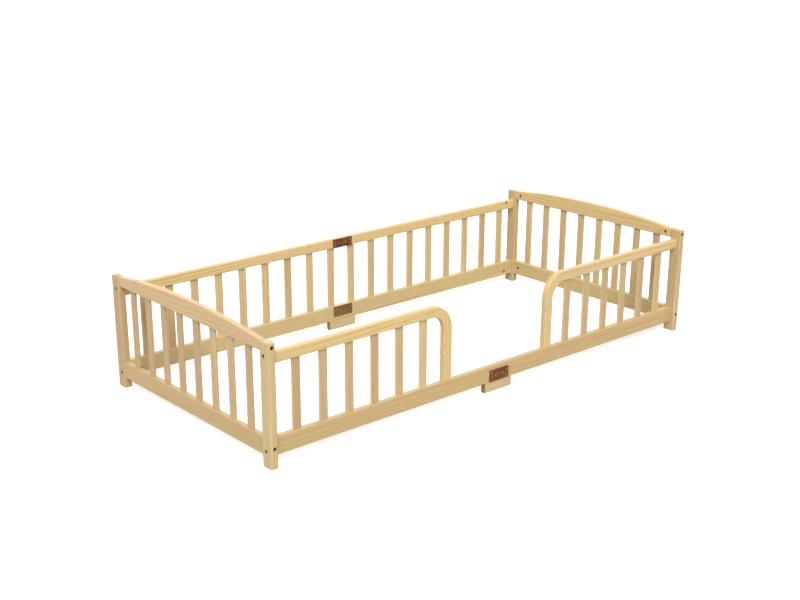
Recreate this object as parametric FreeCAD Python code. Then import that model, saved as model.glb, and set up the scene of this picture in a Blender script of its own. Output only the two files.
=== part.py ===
"""Toddler floor bed in solid pine: a low frame of posts, rails and slats that goes round a mattress.

+X runs along the bed, the doorway is on the -Y side, +Z is up, and the origin is on the floor
under the middle of the bed. All sizes are in millimetres. Each rail end is held to its post by
one bolt in a barrel nut and one dowel, each slat is let into the rail above and the rail below,
and the long rails come in two halves that steel plates join in the middle.
"""
import math
import os

import FreeCAD
import Part

# The mattress, and the room left between it and the boards
mattress_length = 1600.0
mattress_width = 700.0
mattress_end_room = 4.0
mattress_side_room = 2.0

# Boards that all the rails are cut from
board_thickness = 18.0
board_edge_chamfer = 2.5

# Corner posts
post_thickness = 23.0           # along the bed
post_depth = 39.0               # across the bed
post_edge_round = 5.0
post_top_chamfer = 4.0
side_rail_setback = 14.0        # outer face of a long rail behind the post's outer face
end_rail_setback = 3.0          # outer face of an end rail behind the post's outer face

# Heights
floor_gap = 30.0                # under the bottom rails
bottom_rail_height = 50.0
side_opening_height = 198.0     # bottom rail to top rail, long sides
side_top_rail_height = 31.0
end_rail_step = 2.0             # top of the long top rails to the underside of the end ones
end_top_rail_end_height = 29.0
end_crown_rise = 20.5           # how far the arched top rises between the posts

# Slats and the mortises that they are let into
slat_width = 25.5
slat_thickness = 7.0
slat_edge_chamfer = 1.5
slat_tenon = 8.0
mortise_gap = 0.1               # all round a tenon, and past its end
guard_slat_count = 6            # between one post and one upright
guard_post_gap = 63.0           # from the last slat to the post, and likewise below
back_slat_count = 9             # in each half
back_post_gap = 52.6
back_middle_gap = 59.0          # between the two slats beside the back's middle seam
end_slat_count = 8
end_post_gap = 49.4

# Front guards
doorway_width = 380.0
upright_width = 31.0
guard_corner_radius = 75.0      # outside of the curved corner
guard_inner_radius = 44.0
upright_dowel_offset = 8.0      # each side of the upright's middle

# Feet under the middle of the long sides
foot_length = 108.0
foot_thickness = 16.0
foot_edge_chamfer = 2.5
foot_screw_offsets = (15.0, 42.0)       # from the middle seam

# Bolts and barrel nuts
bolt_radius = 3.0
bolt_length = 60.0
bolt_hole_gap = 0.3
bolt_past_nut = 6.0             # from the nut's axis to the bolt's tip
bolt_head_radius = 5.0
bolt_head_height = 6.0
bolt_key_width = 5.0
bolt_key_depth = 3.0
bolt_seat_depth = 7.5           # of the bore that the head sits in
bolt_bore_radius = 5.8
nut_radius = 5.0
nut_length = 14.0
nut_hole_gap = 0.1
nut_thread_gap = 0.05
nut_slot_width = 1.6
nut_slot_depth = 1.5

# Dowels
dowel_radius = 3.0
dowel_length = 30.0
dowel_in_post = 11.0
dowel_hole_gap = 0.1

# Heights of the bolts and dowels at the rail ends, each from the nearer edge of its rail
bottom_side_bolt_height = 14.5
bottom_side_dowel_height = 36.0
bottom_end_bolt_height = 25.5
bottom_end_dowel_height = 8.0
top_side_bolt_drop = 6.5
top_side_dowel_height = 9.0
top_end_bolt_height = 15.5
top_end_dowel_height = 6.0

# Steel plates over the middle seams
plate_length = 77.0
plate_thickness = 2.5
plate_corner_chamfer = 2.0
bottom_plate_height = 34.0
top_plate_height = 29.5
front_plate_drop = 13.0         # below the top of its rail
back_bottom_plate_drop = 1.5
back_top_plate_drop = 1.0
plate_screw_outer = 29.5        # from the seam to the pair of screws
plate_screw_inner = 14.5        # from the seam to the single screw
bottom_plate_screw_rise = 7.5   # of the pair, above and below the plate's middle
top_plate_screw_rise = 6.5

# Countersunk screws
plate_screw_length = 15.0
plate_screw_radius = 1.75
plate_screw_head_radius = 3.5
foot_screw_length = 45.0
foot_screw_radius = 2.25
foot_screw_head_radius = 4.5
foot_screw_recess = 2.0
screw_gap = 0.05

# Small rounds are drawn with flats, because the bed holds about eighty fasteners in drilled holes
head_sides = 12                 # bolt heads and the bores round them
nut_sides = 8                   # barrel nuts and their holes
hidden_sides = 6                # shanks, dowels, screws and their holes

# Worked out from the sizes above
rail_inner_x = mattress_length / 2 + mattress_end_room
rail_inner_y = mattress_width / 2 + mattress_side_room
end_rail_x = rail_inner_x + board_thickness / 2
side_rail_y = rail_inner_y + board_thickness / 2
post_outer_x = rail_inner_x + board_thickness + end_rail_setback
post_outer_y = rail_inner_y + board_thickness + side_rail_setback
post_inner_x = post_outer_x - post_thickness
post_inner_y = post_outer_y - post_depth
bottom_rail_top = floor_gap + bottom_rail_height
side_top_rail_z = bottom_rail_top + side_opening_height
side_top_rail_top = side_top_rail_z + side_top_rail_height
end_top_rail_z = side_top_rail_top + end_rail_step
post_height = end_top_rail_z + end_top_rail_end_height
upright_x = doorway_width / 2 + upright_width / 2
nut_from_seat = bolt_length - bolt_past_nut

ALONG = FreeCAD.Vector(1, 0, 0)
ACROSS = FreeCAD.Vector(0, 1, 0)
UP = FreeCAD.Vector(0, 0, 1)
point = FreeCAD.Vector


# ---- Making and saving shapes ----

def save(name, *solids):
    """Write one piece, or one group of like pieces, to its own file."""
    Part.makeCompound(list(solids)).exportStep(os.path.join("parts", name + ".step"))


def block(low, high):
    """A square-edged block between two opposite corners."""
    size = high - low
    return Part.makeBox(size.x, size.y, size.z, low)


def ring(radius, height, sides):
    """A closed ring of flats, whose corners lie on a circle, at a height on the Z axis."""
    turns = (math.pi * (2 * count + 1) / sides for count in range(sides + 1))
    return Part.makePolygon([point(radius * math.cos(turn), radius * math.sin(turn), height)
                             for turn in turns])


def placed(shape, start, direction):
    """A shape made on the Z axis, moved to a start and turned to run along a direction."""
    shape.Placement = FreeCAD.Placement(start, FreeCAD.Rotation(UP, direction))
    return shape


def turned(rings, start, direction):
    """A turned shape with flat facets between the rings of its profile, from end to end."""
    faces = [Part.Face(rings[0]), Part.Face(rings[-1])]
    for low, high in zip(rings, rings[1:]):
        for below, above in zip(low.Edges, high.Edges):
            (one, two), (three, four) = ([vertex.Point for vertex in edge.Vertexes]
                                         for edge in (below, above))
            faces.append(Part.Face(Part.makePolygon([one, two, four, three, one])))
    return placed(Part.Solid(Part.Shell(faces)), start, direction)


def rod(start, direction, radius, length, sides=hidden_sides):
    """A round bar or drill along a direction."""
    return turned([ring(radius, 0, sides), ring(radius, length, sides)], start, direction)


def edges_along(shape, direction):
    """The straight edges of a shape that run along a direction."""
    return [edge for edge in shape.Edges if edge.Curve.Direction.cross(direction).Length < 1e-6]


def eased_bar(low, high, direction, chamfer):
    """A block whose edges along one direction are chamfered."""
    bar = block(low, high)
    return bar.makeChamfer(chamfer, edges_along(bar, direction))


def flat_outline(pieces, thickness, direction):
    """A board cut to a flat outline of lines and arcs."""
    face = Part.Face(Part.Wire([piece.toShape() for piece in pieces]))
    return face.extrude(direction * thickness)


def ease_outline(board, direction, chamfer, square_ends):
    """Chamfer a board's outline on both faces, but leave the edges on the square ends."""
    faces = [face for face in board.Faces
             if abs(abs(face.normalAt(0, 0).dot(direction)) - 1) < 1e-6]
    edges = []
    for edge in (edge for face in faces for edge in face.Edges):
        if not any(abs(edge.CenterOfMass.dot(axis) - place) < 1e-3 for axis, place in square_ends):
            edges.append(edge)
    return board.makeChamfer(chamfer, edges)


def cut(piece, *holes):
    """Take every hole out of a piece, in one step."""
    return piece.cut([hole for group in holes for hole in group])


# ---- Fasteners: each function gives a piece, and each piece has a drill of its own size ----

def bolt(seat, direction):
    """A socket-head bolt whose head bears on the seat and whose shank runs along the direction."""
    shank = rod(seat, direction, bolt_radius, bolt_length)
    top = seat - direction * bolt_head_height
    head = rod(top, direction, bolt_head_radius, bolt_head_height, head_sides)
    key = rod(top, direction, bolt_key_width / math.sqrt(3), bolt_key_depth, sides=6)
    return head.fuse(shank).removeSplitter().cut(key)


def bolt_drill(seat, direction):
    """The bore for the bolt's head and the hole for its shank."""
    bore = rod(seat - direction * bolt_seat_depth, direction, bolt_bore_radius, bolt_seat_depth,
               head_sides)
    length = bolt_length + bolt_hole_gap
    return bore.fuse(rod(seat, direction, bolt_radius + bolt_hole_gap, length))


def barrel_nut(centre, direction, bolt_direction):
    """A barrel nut: its axis runs along the direction and the bolt screws through its middle."""
    start = centre - direction * (nut_length / 2)
    thread = rod(centre - bolt_direction * (2 * nut_radius), bolt_direction,
                 bolt_radius + nut_thread_gap, 4 * nut_radius)
    sideways = direction.cross(bolt_direction)
    slot_half = (sideways * nut_slot_width + bolt_direction * (4 * nut_radius)) * 0.5
    ends = (start - slot_half, start + slot_half + direction * nut_slot_depth)
    low = point(*(min(pair) for pair in zip(*ends)))
    high = point(*(max(pair) for pair in zip(*ends)))
    body = rod(start, direction, nut_radius, nut_length, nut_sides)
    return body.cut([thread, block(low, high)])


def nut_drill(centre, direction):
    """The hole for a barrel nut, open on the board's inner face."""
    length = board_thickness / 2 + nut_length / 2
    start = centre - direction * (board_thickness / 2)
    return rod(start, direction, nut_radius + nut_hole_gap, length, nut_sides)


def dowel(start, direction):
    """A beech dowel."""
    return rod(start, direction, dowel_radius, dowel_length)


def dowel_drill(start, direction):
    """The hole for a dowel, a little longer and wider than the dowel."""
    return rod(start - direction * dowel_hole_gap, direction, dowel_radius + dowel_hole_gap,
               dowel_length + 2 * dowel_hole_gap)


def screw(head, direction, radius, head_radius, length, gap=0.0):
    """A countersunk screw that widens to its flat head; with a gap it is the hole for it."""
    rings = [ring(head_radius + gap, 0, hidden_sides),
             ring(radius + gap, head_radius - radius, hidden_sides),
             ring(radius + gap, length + gap, hidden_sides)]
    return turned(rings, head, direction)


# ---- Posts and the joints between posts and rails ----

def rail_end_joint(seat, direction, inward, dowel_z):
    """Bolt, barrel nut and dowel at one rail end, and the holes that take them."""
    nut_centre = seat + direction * nut_from_seat
    depth = post_thickness if direction.cross(ALONG).Length < 1e-6 else post_depth
    dowel_start = seat + direction * (depth - bolt_seat_depth - dowel_in_post)
    dowel_start.z = dowel_z
    pieces = (bolt(seat, direction), barrel_nut(nut_centre, -inward, direction),
              dowel(dowel_start, direction))
    holes = (bolt_drill(seat, direction), nut_drill(nut_centre, -inward),
             dowel_drill(dowel_start, direction))
    return pieces, holes


def corner_joints(end, side):
    """The four rail end joints at one post: two long rails and two end rails meet there."""
    side_seat = point(end * (post_outer_x - bolt_seat_depth), side * side_rail_y, 0)
    end_seat = point(end * end_rail_x, side * (post_outer_y - bolt_seat_depth), 0)
    heights = (
        (side_seat, floor_gap + bottom_side_bolt_height, floor_gap + bottom_side_dowel_height),
        (side_seat, side_top_rail_top - top_side_bolt_drop, side_top_rail_z + top_side_dowel_height),
        (end_seat, floor_gap + bottom_end_bolt_height, floor_gap + bottom_end_dowel_height),
        (end_seat, end_top_rail_z + top_end_bolt_height, end_top_rail_z + top_end_dowel_height),
    )
    joints = []
    for seat, bolt_z, dowel_z in heights:
        into_side_rail = seat is side_seat
        direction = ALONG * -end if into_side_rail else ACROSS * -side
        inward = ACROSS * -side if into_side_rail else ALONG * -end
        joints.append(rail_end_joint(seat + UP * bolt_z, direction, inward, dowel_z))
    return joints


def post(end, side):
    """A corner post with rounded edges and an eased top, standing on the floor."""
    xs = sorted((end * post_inner_x, end * post_outer_x))
    ys = sorted((side * post_inner_y, side * post_outer_y))
    body = block(point(xs[0], ys[0], 0), point(xs[1], ys[1], post_height))
    body = body.makeFillet(post_edge_round, edges_along(body, UP))
    top = [edge for edge in body.Edges if edge.BoundBox.ZMin > post_height - 1e-3]
    return body.makeChamfer(post_top_chamfer, top)


# ---- Slats ----

def spread(first, last, count):
    """Middles of like pieces at even steps from the first to the last."""
    step = (last - first) / (count - 1)
    return [first + step * number for number in range(count)]


def slat(x, y, broad_along, low_z, high_z, gap=0.0):
    """One slat with its tenons; with a gap it is the square-cornered cutter for its mortises."""
    half_width = slat_width / 2 + gap
    half_thickness = slat_thickness / 2 + gap
    half = point(half_width, half_thickness, 0) if broad_along else point(half_thickness, half_width, 0)
    low = point(x, y, low_z - slat_tenon - gap) - half
    high = point(x, y, high_z + slat_tenon + gap) + half
    return block(low, high) if gap else eased_bar(low, high, UP, slat_edge_chamfer)


def guard_slat_places():
    """Middles of a guard's slats: even steps from the upright to the last slat."""
    last = post_inner_x - guard_post_gap - slat_width / 2
    return spread(upright_x, last, guard_slat_count + 1)[1:]


def back_slat_places():
    """Middles of the slats in half the back, from the middle seam outwards."""
    last = post_inner_x - back_post_gap - slat_width / 2
    return spread((back_middle_gap + slat_width) / 2, last, back_slat_count)


def side_slats(xs, side, gap=0.0):
    """Slats of a long side, or their mortises."""
    return [slat(x, side * side_rail_y, True, bottom_rail_top, side_top_rail_z, gap) for x in xs]


def end_slats(end, gap=0.0):
    """Slats of one end, or their mortises, evenly placed about the middle."""
    last = post_inner_y - end_post_gap - slat_width / 2
    return [slat(end * end_rail_x, y, False, bottom_rail_top, end_top_rail_z, gap)
            for y in spread(-last, last, end_slat_count)]


# ---- Rails ----

def side_rail_half(end, side, low_z, high_z):
    """Half of a long rail, from the middle seam to the post."""
    xs = sorted((0.0, end * post_inner_x))
    ys = (side * side_rail_y - board_thickness / 2, side * side_rail_y + board_thickness / 2)
    return eased_bar(point(xs[0], ys[0], low_z), point(xs[1], ys[1], high_z), ALONG,
                     board_edge_chamfer)


def end_bottom_rail(end):
    """The straight rail between the two posts of one end, near the floor."""
    x = end * end_rail_x
    low = point(x - board_thickness / 2, -post_inner_y, floor_gap)
    high = point(x + board_thickness / 2, post_inner_y, bottom_rail_top)
    return eased_bar(low, high, ACROSS, board_edge_chamfer)


def end_top_rail(end):
    """The top rail of one end: straight below, and a long arc above that peaks in the middle."""
    x = end * end_rail_x - board_thickness / 2
    corners = [point(x, y, z) for y, z in (
        (-post_inner_y, post_height), (-post_inner_y, end_top_rail_z),
        (post_inner_y, end_top_rail_z), (post_inner_y, post_height))]
    crown = point(x, 0, post_height + end_crown_rise)
    outline = [Part.LineSegment(start, stop) for start, stop in zip(corners, corners[1:])]
    outline.append(Part.Arc(corners[3], crown, corners[0]))
    board = flat_outline(outline, board_thickness, ALONG)
    return ease_outline(board, ALONG, board_edge_chamfer,
                        [(ACROSS, -post_inner_y), (ACROSS, post_inner_y)])


def guard_frame(end):
    """Top rail and upright of one front guard as one bent board, and the middle of its corner."""
    door_x = doorway_width / 2
    outer = (door_x + guard_corner_radius, side_top_rail_top - guard_corner_radius)
    inner = (door_x + upright_width + guard_inner_radius, side_top_rail_z - guard_inner_radius)

    def place(x, z):
        return point(end * x, -side_rail_y - board_thickness / 2, z)

    def corner(centre, radius):
        turns = (0, math.pi / 4, math.pi / 2)
        return [place(centre[0] - radius * math.cos(turn), centre[1] + radius * math.sin(turn))
                for turn in turns]

    outer_arc = corner(outer, guard_corner_radius)
    inner_arc = corner(inner, guard_inner_radius)
    foot = (place(door_x, bottom_rail_top), place(door_x + upright_width, bottom_rail_top))
    rail_end = (place(post_inner_x, side_top_rail_z), place(post_inner_x, side_top_rail_top))
    outline = [
        Part.LineSegment(outer_arc[0], foot[0]), Part.LineSegment(*foot),
        Part.LineSegment(foot[1], inner_arc[0]), Part.Arc(*inner_arc),
        Part.LineSegment(inner_arc[2], rail_end[0]), Part.LineSegment(*rail_end),
        Part.LineSegment(rail_end[1], outer_arc[2]), Part.Arc(*reversed(outer_arc)),
    ]
    board = flat_outline(outline, board_thickness, ACROSS)
    board = ease_outline(board, ACROSS, board_edge_chamfer,
                         [(ALONG, end * post_inner_x), (UP, bottom_rail_top)])
    return board, place(*outer) + ACROSS * (board_thickness / 2)


def parted_guard(end):
    """The bent board sawn along the mitre of its corner: top rail, upright, dowel, dowel's hole."""
    board, middle = guard_frame(end)
    to_rail = point(end, 0, 1).normalize()
    reach = mattress_length
    saw = Part.makeBox(reach, reach, reach, point(-reach / 2, -reach / 2, 0))
    saw.Placement = FreeCAD.Placement(middle, FreeCAD.Rotation(UP, to_rail))
    out_to_corner = point(-end, 0, 1).normalize()
    start = (middle + out_to_corner * (guard_corner_radius - upright_width / 2)
             - to_rail * (dowel_length / 2))
    return (board.common(saw), board.cut(saw), dowel(start, to_rail),
            dowel_drill(start, to_rail))


# ---- Plates, feet and their screws ----

def plate_kit(outer_y, outward, top_z, height, screw_rise):
    """A steel plate over a middle seam, its six screws and the holes that they make."""
    xs = (-plate_length / 2, plate_length / 2)
    ys = sorted((outer_y, outer_y + outward * plate_thickness))
    plate = eased_bar(point(xs[0], ys[0], top_z - height), point(xs[1], ys[1], top_z), ACROSS,
                      plate_corner_chamfer)
    face_y = outer_y + outward * plate_thickness
    middle_z = top_z - height / 2
    heads = [point(side * x, face_y, middle_z + rise) for side in (-1, 1) for x, rise in
             ((plate_screw_outer, screw_rise), (plate_screw_outer, -screw_rise),
              (plate_screw_inner, 0))]
    sizes = (plate_screw_radius, plate_screw_head_radius, plate_screw_length)
    screws = [screw(head, ACROSS * -outward, *sizes) for head in heads]
    holes = [screw(head, ACROSS * -outward, *sizes, gap=screw_gap) for head in heads]
    return cut(plate, holes), screws, holes


def foot_kit(side):
    """A foot block under a middle seam, screwed to both rail halves from below."""
    low = point(-foot_length / 2, side * side_rail_y - foot_thickness / 2, 0)
    high = point(foot_length / 2, side * side_rail_y + foot_thickness / 2, floor_gap)
    foot = block(low, high)
    eased = [edge for edge in foot.Edges if edge.BoundBox.ZMin < floor_gap - 1e-3]
    foot = foot.makeChamfer(foot_edge_chamfer, eased)
    heads = [point(end * offset, side * side_rail_y, foot_screw_recess)
             for end in (-1, 1) for offset in foot_screw_offsets]
    sizes = (foot_screw_radius, foot_screw_head_radius, foot_screw_length)
    screws = [screw(head, UP, *sizes) for head in heads]
    holes = [screw(head, UP, *sizes, gap=screw_gap) for head in heads]
    recesses = [rod(head - UP * foot_screw_recess, UP, foot_screw_head_radius + screw_gap,
                    foot_screw_recess) for head in heads]
    return cut(foot, holes, recesses), screws, holes


# ---- The bed, put together ----

os.makedirs("parts", exist_ok=True)
ENDS = {-1: "left", 1: "right"}
SIDES = {-1: "front", 1: "back"}
bolts, nuts, dowels, plate_screws, foot_screws = [], [], [], [], []

# Posts, each drilled for the four rail ends that meet there
joint_holes = {}
for end, end_name in ENDS.items():
    for side, side_name in SIDES.items():
        joints = corner_joints(end, side)
        holes = [hole for pieces, drills in joints for hole in drills]
        joint_holes[end, side] = holes
        save("post_%s_%s" % (side_name, end_name), cut(post(end, side), holes))
        for (one_bolt, one_nut, one_dowel), drills in joints:
            bolts.append(one_bolt)
            nuts.append(one_nut)
            dowels.append(one_dowel)

# Plates and feet over and under the middle seams
bottom_plate = (bottom_plate_height, bottom_plate_screw_rise)
top_plate = (top_plate_height, top_plate_screw_rise)
front_face = -side_rail_y - board_thickness / 2
back_face = side_rail_y - board_thickness / 2
plates = {
    "front_plate": plate_kit(front_face, -1, bottom_rail_top - front_plate_drop, *bottom_plate),
    "back_bottom_plate": plate_kit(back_face, -1, bottom_rail_top - back_bottom_plate_drop,
                                   *bottom_plate),
    "back_top_plate": plate_kit(back_face, -1, side_top_rail_top - back_top_plate_drop, *top_plate),
}
seam_holes = {-1: [], 1: []}
for name, (plate, screws, holes) in plates.items():
    save(name, plate)
    plate_screws.extend(screws)
    seam_holes[-1 if name == "front_plate" else 1].extend(holes)
for side, side_name in SIDES.items():
    foot, screws, holes = foot_kit(side)
    save("middle_foot_" + side_name, foot)
    foot_screws.extend(screws)
    seam_holes[side].extend(holes)

# Ends: bottom rail, arched top rail and slats
for end, end_name in ENDS.items():
    holes = joint_holes[end, -1] + joint_holes[end, 1]
    mortises = end_slats(end, mortise_gap)
    save("end_bottom_rail_" + end_name, cut(end_bottom_rail(end), holes, mortises))
    save("end_top_rail_" + end_name, cut(end_top_rail(end), holes, mortises))
    for number, one_slat in enumerate(end_slats(end), 1):
        save("end_slat_%s_%d" % (end_name, number), one_slat)

# Back: two halves, each a bottom rail, a top rail and slats
for end, end_name in ENDS.items():
    xs = [end * x for x in back_slat_places()]
    holes = joint_holes[end, 1] + seam_holes[1]
    mortises = side_slats(xs, 1, mortise_gap)
    low_rail = side_rail_half(end, 1, floor_gap, bottom_rail_top)
    high_rail = side_rail_half(end, 1, side_top_rail_z, side_top_rail_top)
    save("back_bottom_rail_" + end_name, cut(low_rail, holes, mortises))
    save("back_top_rail_" + end_name, cut(high_rail, holes, mortises))
    save("back_slats_" + end_name, *(cut(one, seam_holes[1]) for one in side_slats(xs, 1)))

# Front: two halves, each a bottom rail and a guard, with the doorway between the guards
for end, end_name in ENDS.items():
    xs = [end * x for x in guard_slat_places()]
    mortises = side_slats(xs, -1, mortise_gap)
    top_rail, upright, corner_dowel, corner_hole = parted_guard(end)
    foot_starts = [point(end * upright_x + offset, -side_rail_y, bottom_rail_top - dowel_length / 2)
                   for offset in (-upright_dowel_offset, upright_dowel_offset)]
    foot_holes = [dowel_drill(start, UP) for start in foot_starts]
    dowels.append(corner_dowel)
    dowels.extend(dowel(start, UP) for start in foot_starts)
    holes = joint_holes[end, -1]
    low_rail = side_rail_half(end, -1, floor_gap, bottom_rail_top)
    save("front_bottom_rail_" + end_name,
         cut(low_rail, holes, mortises, seam_holes[-1], foot_holes))
    save("guard_top_rail_" + end_name, cut(top_rail, holes, mortises, [corner_hole]))
    save("guard_upright_" + end_name, cut(upright, foot_holes, [corner_hole]))
    for number, one_slat in enumerate(side_slats(xs, -1), 1):
        save("guard_slat_%s_%d" % (end_name, number), one_slat)

# Fasteners, one group of like pieces to a file
save("corner_bolts", *bolts)
save("barrel_nuts", *nuts)
save("dowels", *dowels)
save("plate_screws", *plate_screws)
save("foot_screws", *foot_screws)
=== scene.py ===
"""A toddler floor bed in clear-lacquered pine, dressed for the studio.

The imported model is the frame: metres, +X along the bed, the doorway on the -Y side, the floor at
z = 0. Each section below is one kind of piece, in the order in which the bed is put together.
"""

import math

import bpy
import numpy as np
from mathutils import Matrix, Vector


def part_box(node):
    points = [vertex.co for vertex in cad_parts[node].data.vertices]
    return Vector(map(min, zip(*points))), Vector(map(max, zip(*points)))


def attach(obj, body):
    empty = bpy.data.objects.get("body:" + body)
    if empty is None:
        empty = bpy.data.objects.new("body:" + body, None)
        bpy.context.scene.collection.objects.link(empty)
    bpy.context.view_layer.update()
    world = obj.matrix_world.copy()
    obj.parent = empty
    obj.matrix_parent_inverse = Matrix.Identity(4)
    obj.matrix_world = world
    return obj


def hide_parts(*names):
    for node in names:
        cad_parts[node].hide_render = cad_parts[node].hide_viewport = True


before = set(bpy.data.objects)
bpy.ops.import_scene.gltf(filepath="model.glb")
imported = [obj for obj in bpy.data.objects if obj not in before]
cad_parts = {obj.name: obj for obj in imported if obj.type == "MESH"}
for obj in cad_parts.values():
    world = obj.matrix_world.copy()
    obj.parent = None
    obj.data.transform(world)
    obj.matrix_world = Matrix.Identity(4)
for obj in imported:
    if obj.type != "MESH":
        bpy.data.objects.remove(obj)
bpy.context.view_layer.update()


# ---- Corner posts -------------------------------------------------------------------------------
# Four uprights of planed pine, 23 by 39 mm, with their long edges and their tops rounded over. Four
# bolts go into each from outside, two for the long rails and two for the end rails, and their
# heads sit in bored seats.

mm = 0.001
post_edge_round = 5 * mm
post_top_round = 4 * mm
post_foot_round = 0.6 * mm
end_round = 0.5 * mm  # the sawn ends of rails and slats only have their edges broken
least_round = 0.05 * mm  # keeps an outline's corners from closing to a point
overrun = 1 * mm  # each cutter starts this far outside the wood
bore_radius = 5.8 * mm
bore_depth = 7.5 * mm
bolt_bore = [(-overrun, bore_radius), (bore_depth, bore_radius)]
side_rail_y = 361 * mm
end_rail_x = 813 * mm
side_bolt_heights = (44.5 * mm, 302.5 * mm)
end_bolt_heights = (55.5 * mm, 326.5 * mm)
quarter_turn = np.linspace(0, math.pi / 2, 4)  # three steps round the edge of an end
rng = np.random.default_rng(7)  # where in its log each board was sawn, and how screws are turned


def outline(width, depth, radius, steps=5):
    """Rectangle with quarter-circle corners: each corner's centre plus radius times (cos a, sin a),
    with a going once round. Widths may be arrays, one rectangle for each place along a path."""
    turn = np.linspace(0, math.pi / 2, steps + 1)
    angle = (np.arange(4)[:, None] * math.pi / 2 + turn).ravel()
    signs = np.repeat([[1, 1], [-1, 1], [-1, -1], [1, -1]], steps + 1, axis=0)
    width, depth, radius = (np.asarray(size, float)[..., None] for size in (width, depth, radius))
    across = signs[:, 0] * (width / 2 - radius) + radius * np.cos(angle)
    through = signs[:, 1] * (depth / 2 - radius) + radius * np.sin(angle)
    return np.stack(np.broadcast_arrays(across, through), -1)


def skin(rings):
    """Closed surface over rings[i, j]: quads between ring i and ring i + 1, j going once round, and
    a flat face over the first ring and the last."""
    count, around = rings.shape[:2]
    ring, place = np.meshgrid(np.arange(count - 1), np.arange(around), indexing="ij")
    after = (place + 1) % around
    quads = np.stack([ring * around + place, ring * around + after,
                      (ring + 1) * around + after, (ring + 1) * around + place], -1)
    first = list(range(around))[::-1]
    last = list(range((count - 1) * around, count * around))
    return rings.reshape(-1, 3), quads.reshape(-1, 4).tolist() + [first, last]


def straight_board(low, high, along, edge, start=end_round, end=end_round, steps=5):
    """Outline carried along one axis from low to high. Near an end the outline is drawn in by
    r (1 - cos a) at r (1 - sin a) from that end, so the end's edges are rounded too."""
    low, high = np.array(low), np.array(high)
    across, through = (along + 1) % 3, (along + 2) % 3
    drawn_in, short = 1 - np.sin(quarter_turn), 1 - np.cos(quarter_turn)
    inset = np.concatenate([start * drawn_in, end * drawn_in[::-1]])
    reach = np.concatenate([low[along] + start * short, high[along] - end * short[::-1]])
    size = high - low
    flat = outline(size[across] - 2 * inset, size[through] - 2 * inset,
                   np.maximum(edge - inset, least_round), steps)
    rings = np.zeros(flat.shape[:2] + (3,))
    rings[..., along] = reach[:, None]
    rings[..., across] = flat[..., 0] + (low + high)[across] / 2
    rings[..., through] = flat[..., 1] + (low + high)[through] / 2
    return rings


def piece_from(name, *skins):
    """One mesh object from closed surfaces, each given as (points, faces)."""
    points = np.concatenate([points for points, faces in skins])
    starts = np.cumsum([0] + [len(points) for points, faces in skins])
    faces = [[int(start) + corner for corner in face]
             for start, (_, surface) in zip(starts, skins) for face in surface]
    mesh = bpy.data.meshes.new(name)
    mesh.from_pydata(points, [], faces)
    piece = bpy.data.objects.new(name, mesh)
    bpy.context.scene.collection.objects.link(piece)
    return piece


def turned(start, direction, profile, sides=32):
    """Turned shape: at each (reach, radius) of the profile, a ring about the axis from start along
    direction, start + reach d + radius (cos a, sin a). A radius may also be one value per side."""
    direction = np.array(direction, float)
    side = np.roll(direction, 1)
    up = np.cross(direction, side)
    angle = np.linspace(0, 2 * math.pi, sides, endpoint=False)[:, None]
    reach = np.array([[[place]] for place, radius in profile])
    radius = np.array([np.broadcast_to(radius, sides) for place, radius in profile])[..., None]
    return skin(np.array(start) + reach * direction
                + radius * (np.cos(angle) * side + np.sin(angle) * up))


def drill(piece, *holes):
    """Takes closed surfaces out of a piece, and keeps the result as the piece's own mesh."""
    for hole in holes:
        cutter = piece_from("cutter", hole)
        cut = piece.modifiers.new("hole", "BOOLEAN")
        cut.object, cut.operation, cut.solver = cutter, "DIFFERENCE", "EXACT"
        whole = piece.evaluated_get(bpy.context.evaluated_depsgraph_get())
        mesh = bpy.data.meshes.new_from_object(whole)
        piece.modifiers.clear()
        piece.data = mesh
        bpy.data.objects.remove(cutter)


def soften(piece, crease):
    """Smooth shading that breaks at creases of so many degrees, weighted so that broad flat faces
    stay flat."""
    piece.data.polygons.foreach_set("use_smooth", np.ones(len(piece.data.polygons), bool))
    piece.data.set_sharp_from_angle(angle=math.radians(crease))
    weighted = piece.modifiers.new("flat faces", "WEIGHTED_NORMAL")
    weighted.keep_sharp = True


no_knot = (0, 1, mm)  # a metre aside of the board
knot_brown = "#9A6A42"
sawn_end_brown = "#7A5230"
# Painted highlight: the lighter yellow that narrow sides are painted with, where light catches them
highlight_yellow = "#D5C488"


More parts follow.
